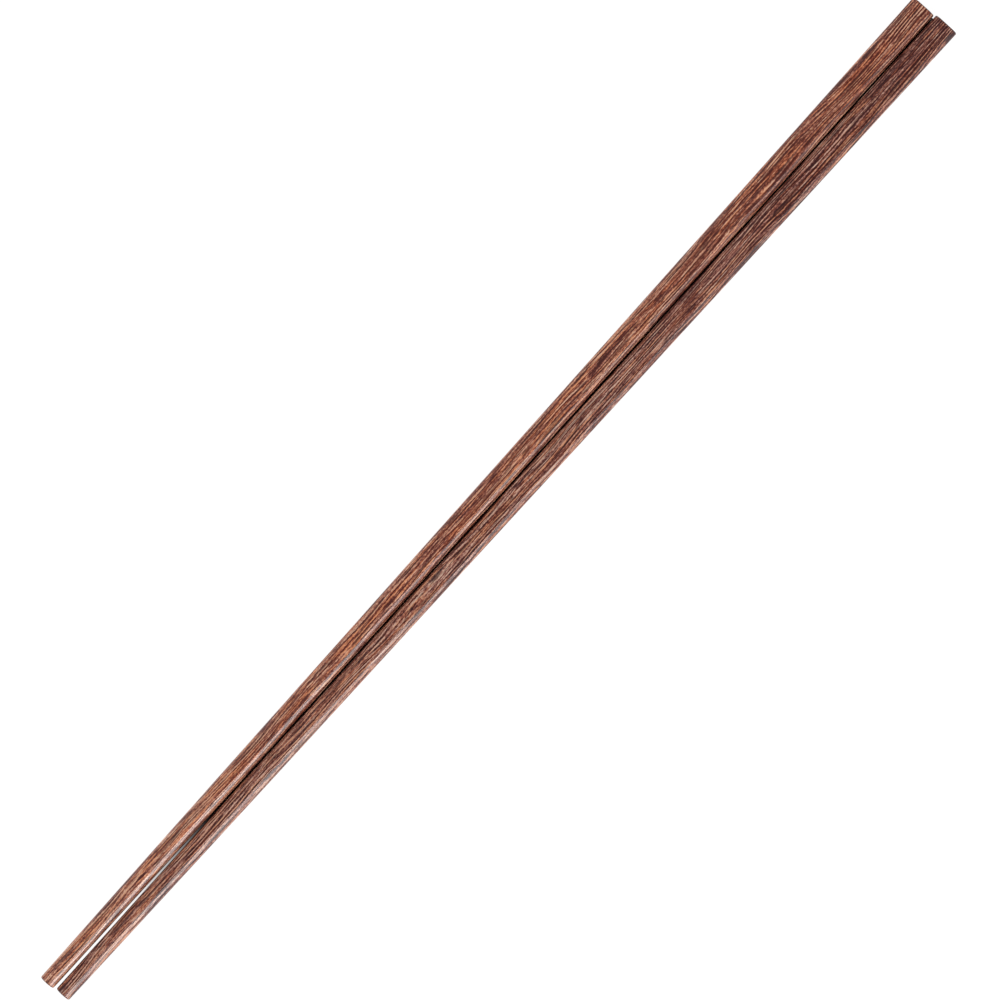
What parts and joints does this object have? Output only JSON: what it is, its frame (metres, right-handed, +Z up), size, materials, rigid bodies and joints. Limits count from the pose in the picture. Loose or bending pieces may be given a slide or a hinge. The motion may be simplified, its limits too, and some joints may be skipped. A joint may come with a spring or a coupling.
{
  "type": "pair of cooking chopsticks",
  "caption": "Long tapered hardwood sticks, square at the handle and round at the tip, lying side by side, for turning and lifting food while cooking.",
  "frame": {"origin": "on the table, under the middle of the pair", "axes": "+X along the pair from the tips to the handles, +Y across it from the right stick to the left one, +Z up from the table"},
  "size_m": [0.4206, 0.018, 0.0088],
  "materials": {
    "lighter_hardwood": "oiled satin",
    "darker_hardwood": "oiled satin"
  },
  "bodies": {
    "root": {"left_chopstick": "lighter_hardwood", "right_chopstick": "darker_hardwood"}
  },
  "joints": []
}
